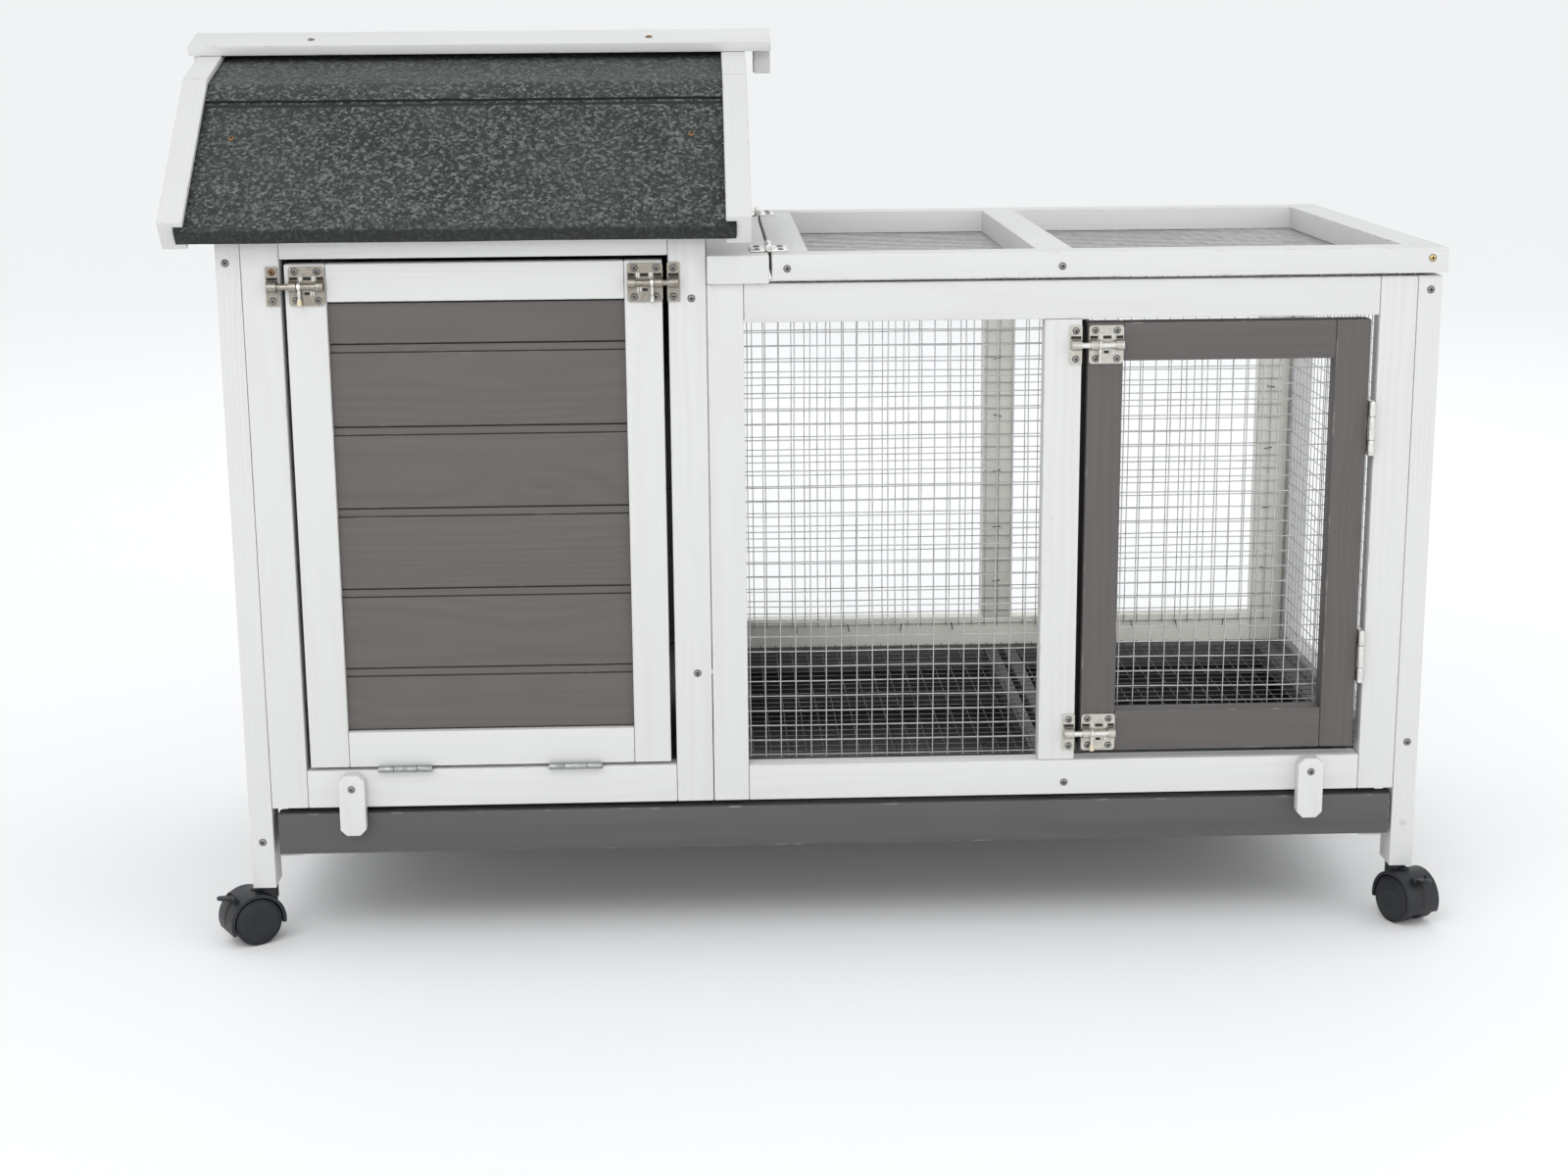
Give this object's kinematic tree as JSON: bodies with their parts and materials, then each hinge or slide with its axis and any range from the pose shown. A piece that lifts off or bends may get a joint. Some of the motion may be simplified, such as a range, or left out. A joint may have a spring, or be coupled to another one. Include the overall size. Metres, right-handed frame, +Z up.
{
  "type": "rabbit hutch",
  "caption": "Two-part rabbit hutch on casters: a boarded house with a felted gambrel roof beside a wire run with a hinged lid, doors with barrel bolts and a pull-out tray.",
  "frame": {"origin": "on the floor, under the middle of the object's box", "axes": "+X along the hutch from the house to the run, -Y towards the doors, +Z up"},
  "size_m": [1.041, 0.491, 0.742],
  "materials": {
    "white_wood": "matt white paint over softwood",
    "grey_wood": "grey-brown stain on softwood",
    "felt": "green-grey mineral roofing felt",
    "wire": "galvanised",
    "nickel": "nickel plate",
    "tray_plastic": "moulded black",
    "caster_plastic": "blue-black moulding",
    "wheel_plastic": "blue-black moulding"
  },
  "bodies": {
    "hutch": {"legs": "white_wood", "house_front_frame": "white_wood", "house_side_frame": "white_wood", "house_side_boards": "grey_wood", "divider_wall": "white_wood", "rear_frame": "white_wood", "rear_boards": "grey_wood", "rear_mesh": "wire", "run_front_frame": "white_wood", "run_front_mesh": "wire", "run_side_frame": "white_wood", "run_side_mesh": "wire", "floor_battens": "grey_wood", "run_floor_mesh": "wire", "house_floor": "grey_wood", "tray_runners": "white_wood", "roof_boards": "white_wood", "roof_felt": "felt", "barge_boards": "white_wood", "ridge_cap": "white_wood", "ridge_end_blocks": "white_wood", "hinge_beam": "white_wood", "fixed_hinge_leaves": "nickel", "bolt_keepers": "nickel", "screws": "nickel"},
    "house_door": {"house_door_frame": "white_wood", "house_door_boards": "grey_wood", "house_door_leaves": "nickel", "house_door_plates": "nickel"},
    "mesh_door": {"mesh_door_frame": "grey_wood", "mesh_door_mesh": "wire", "mesh_door_leaves": "nickel", "mesh_door_plates": "nickel"},
    "lid": {"lid_frame": "white_wood", "lid_mesh": "wire", "lid_leaves": "nickel"},
    "tray": {"tray_front": "grey_wood", "tray_pan": "tray_plastic"},
    "button_left": {"turn_button_left": "white_wood"},
    "button_right": {"turn_button_right": "white_wood"},
    "bolt_1": {"bolt_rod_1": "nickel"},
    "knob_1": {"bolt_knob_1": "nickel"},
    "bolt_2": {"bolt_rod_2": "nickel"},
    "knob_2": {"bolt_knob_2": "nickel"},
    "bolt_3": {"bolt_rod_3": "nickel"},
    "knob_3": {"bolt_knob_3": "nickel"},
    "bolt_4": {"bolt_rod_4": "nickel"},
    "knob_4": {"bolt_knob_4": "nickel"},
    "caster_1": {"caster_hood_1": "caster_plastic"},
    "wheels_1": {"caster_wheels_1": "wheel_plastic"},
    "lever_1": {"brake_lever_1": "caster_plastic"},
    "caster_2": {"caster_hood_2": "caster_plastic"},
    "wheels_2": {"caster_wheels_2": "wheel_plastic"},
    "lever_2": {"brake_lever_2": "caster_plastic"},
    "caster_3": {"caster_hood_3": "caster_plastic"},
    "wheels_3": {"caster_wheels_3": "wheel_plastic"},
    "lever_3": {"brake_lever_3": "caster_plastic"},
    "caster_4": {"caster_hood_4": "caster_plastic"},
    "wheels_4": {"caster_wheels_4": "wheel_plastic"},
    "lever_4": {"brake_lever_4": "caster_plastic"}
  },
  "joints": [
    {"name": "house_door_hinge", "type": "hinge", "parent": "hutch", "child": "house_door", "pos_m": [-0.27349, -0.2192, 0.1508], "axis": [1, 0, 0], "range_deg": [0, 110]},
    {"name": "mesh_door_hinge", "type": "hinge", "parent": "hutch", "child": "mesh_door", "pos_m": [0.44691, -0.2192, 0.3283], "axis": [0, 0, 1], "range_deg": [0, 170]},
    {"name": "lid_hinge", "type": "hinge", "parent": "hutch", "child": "lid", "pos_m": [-0.03889, 0, 0.5721], "axis": [0, -1, 0], "range_deg": [0, 92]},
    {"name": "tray_slide", "type": "slide", "parent": "hutch", "child": "tray", "axis": [0, 1, 0], "range_m": [-0.35, 0]},
    {"name": "button_left_turn", "type": "hinge", "parent": "hutch", "child": "button_left", "pos_m": [-0.38749, -0.222, 0.1363], "axis": [0, 1, 0], "range_deg": [0, 90]},
    {"name": "button_right_turn", "type": "hinge", "parent": "hutch", "child": "button_right", "pos_m": [0.40751, -0.222, 0.1363], "axis": [0, -1, 0], "range_deg": [0, 90]},
    {"name": "bolt_1_slide", "type": "slide", "parent": "house_door", "child": "bolt_1", "axis": [1, 0, 0], "range_m": [0, 0.011]},
    {"name": "knob_1_turn", "type": "hinge", "parent": "bolt_1", "child": "knob_1", "pos_m": [-0.40959, -0.2218, 0.5487], "axis": [-1, 0, 0], "range_deg": [0, 90]},
    {"name": "bolt_2_slide", "type": "slide", "parent": "house_door", "child": "bolt_2", "axis": [-1, 0, 0], "range_m": [0, 0.011]},
    {"name": "knob_2_turn", "type": "hinge", "parent": "bolt_2", "child": "knob_2", "pos_m": [-0.13239, -0.2218, 0.5487], "axis": [-1, 0, 0], "range_deg": [0, 90]},
    {"name": "bolt_3_slide", "type": "slide", "parent": "mesh_door", "child": "bolt_3", "axis": [1, 0, 0], "range_m": [0, 0.011]},
    {"name": "knob_3_turn", "type": "hinge", "parent": "bolt_3", "child": "knob_3", "pos_m": [0.22441, -0.2218, 0.4945], "axis": [-1, 0, 0], "range_deg": [0, 90]},
    {"name": "bolt_4_slide", "type": "slide", "parent": "mesh_door", "child": "bolt_4", "axis": [1, 0, 0], "range_m": [0, 0.011]},
    {"name": "knob_4_turn", "type": "hinge", "parent": "bolt_4", "child": "knob_4", "pos_m": [0.22441, -0.2218, 0.1713], "axis": [-1, 0, 0], "range_deg": [0, 90]},
    {"name": "caster_1_swivel", "type": "hinge", "parent": "hutch", "child": "caster_1", "pos_m": [-0.46499, -0.201, 0.044], "axis": [0, 0, 1], "continuous": true},
    {"name": "wheels_1_roll", "type": "hinge", "parent": "caster_1", "child": "wheels_1", "pos_m": [-0.47798, -0.2085, 0.02], "axis": [0.5, -0.866, 0], "continuous": true},
    {"name": "lever_1_press", "type": "hinge", "parent": "caster_1", "child": "lever_1", "pos_m": [-0.49256, -0.21692, 0.04007], "axis": [0.5, -0.866, 0], "range_deg": [0, 15]},
    {"name": "caster_2_swivel", "type": "hinge", "parent": "hutch", "child": "caster_2", "pos_m": [0.49001, -0.201, 0.044], "axis": [0, 0, 1], "continuous": true},
    {"name": "wheels_2_roll", "type": "hinge", "parent": "caster_2", "child": "wheels_2", "pos_m": [0.49611, -0.2147, 0.02], "axis": [0.9135, 0.4067, 0], "continuous": true},
    {"name": "lever_2_press", "type": "hinge", "parent": "caster_2", "child": "lever_2", "pos_m": [0.50296, -0.23009, 0.04007], "axis": [0.9135, 0.4067, 0], "range_deg": [0, 15]},
    {"name": "caster_3_swivel", "type": "hinge", "parent": "hutch", "child": "caster_3", "pos_m": [-0.46499, 0.201, 0.044], "axis": [0, 0, 1], "continuous": true},
    {"name": "wheels_3_roll", "type": "hinge", "parent": "caster_3", "child": "wheels_3", "pos_m": [-0.45889, 0.2147, 0.02], "axis": [-0.9135, 0.4067, 0], "continuous": true},
    {"name": "lever_3_press", "type": "hinge", "parent": "caster_3", "child": "lever_3", "pos_m": [-0.45204, 0.23009, 0.04007], "axis": [-0.9135, 0.4067, 0], "range_deg": [0, 15]},
    {"name": "caster_4_swivel", "type": "hinge", "parent": "hutch", "child": "caster_4", "pos_m": [0.49001, 0.201, 0.044], "axis": [0, 0, 1], "continuous": true},
    {"name": "wheels_4_roll", "type": "hinge", "parent": "caster_4", "child": "wheels_4", "pos_m": [0.48297, 0.21424, 0.02], "axis": [-0.8829, -0.4695, 0], "continuous": true},
    {"name": "lever_4_press", "type": "hinge", "parent": "caster_4", "child": "lever_4", "pos_m": [0.47506, 0.22911, 0.04007], "axis": [-0.8829, -0.4695, 0], "range_deg": [0, 15]}
  ]
}
